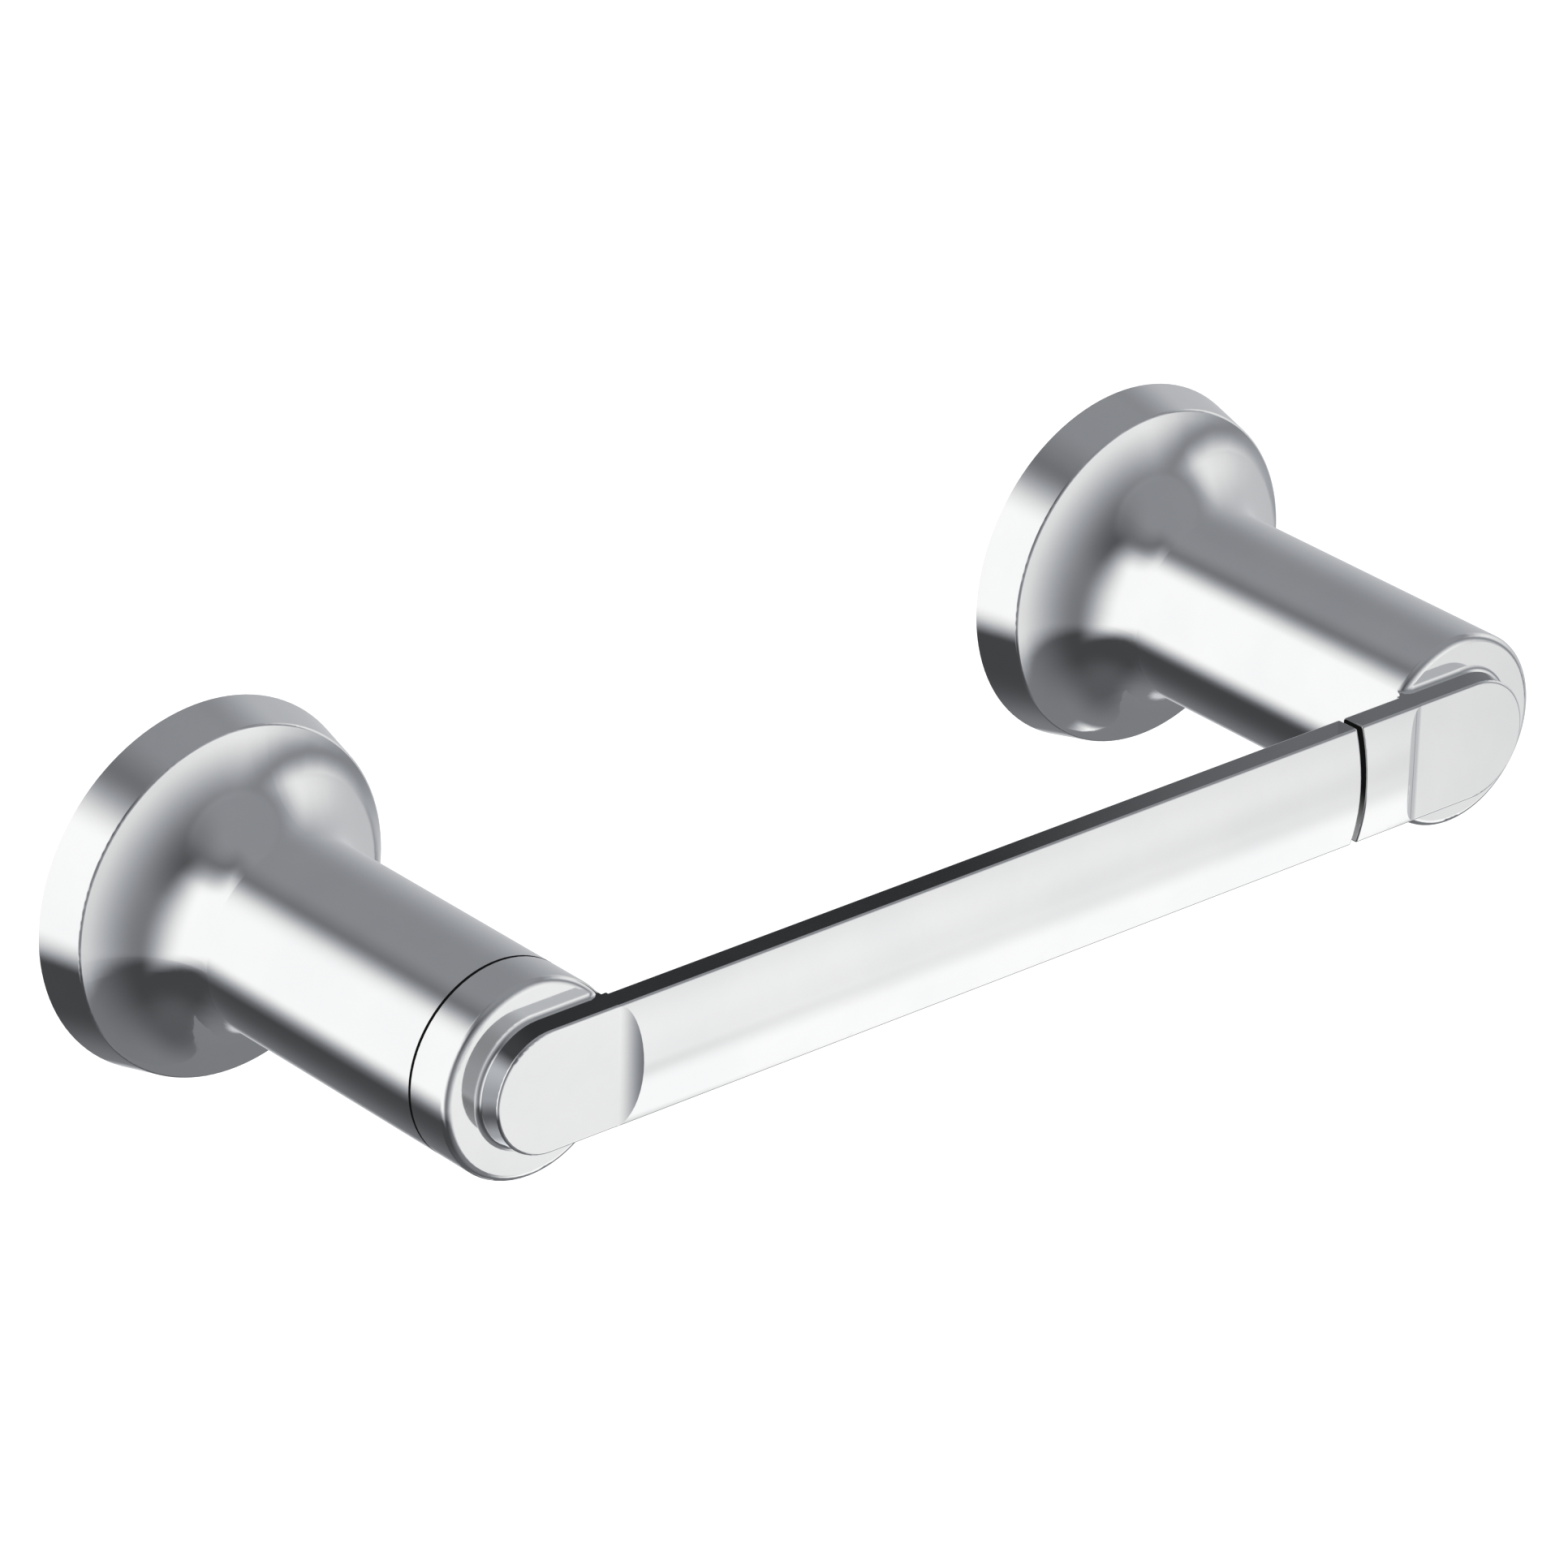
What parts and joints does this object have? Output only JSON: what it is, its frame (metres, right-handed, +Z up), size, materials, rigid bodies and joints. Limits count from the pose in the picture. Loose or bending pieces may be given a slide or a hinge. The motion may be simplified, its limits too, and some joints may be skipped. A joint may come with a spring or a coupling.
{
  "type": "toilet paper holder",
  "caption": "Wall-mounted toilet paper holder: round posts with flared flanges and a crowned roll bar that lifts up on a pivot in one post to take a roll.",
  "frame": {"origin": "on the wall plane, midway between the two post axes, at the centre of the four wall screws", "axes": "+X along the roll bar from the pivot post to the stub post, +Y square into the wall, +Z up"},
  "size_m": [0.2187, 0.0752, 0.0538],
  "materials": {
    "chrome_plate": "bright polished chrome plate on a zinc casting",
    "cast_zinc": "dull tumbled zinc casting",
    "screw_steel": "plain stainless steel, fine turned",
    "bush_brass": "plain turned brass",
    "washer_plastic": "natural white acetal",
    "pin_steel": "zinc-plated turned steel",
    "spring_steel": "dark spring steel"
  },
  "bodies": {
    "base": {"left_post": "chrome_plate", "right_post": "chrome_plate", "left_bracket": "cast_zinc", "right_bracket": "cast_zinc", "left_set_screw": "screw_steel", "right_set_screw": "screw_steel", "pivot_bush": "bush_brass", "thrust_washer": "washer_plastic", "stop_pin": "pin_steel", "spring_washer": "spring_steel"},
    "arm": {"swing_arm": "chrome_plate", "pivot_stud": "pin_steel", "retaining_washer": "pin_steel", "lock_nut": "pin_steel"}
  },
  "joints": [
    {"name": "arm_swing", "type": "hinge", "parent": "base", "child": "arm", "pos_m": [-0.0825, -0.0699, 0], "axis": [0, -1, 0], "range_deg": [0, 90]}
  ]
}
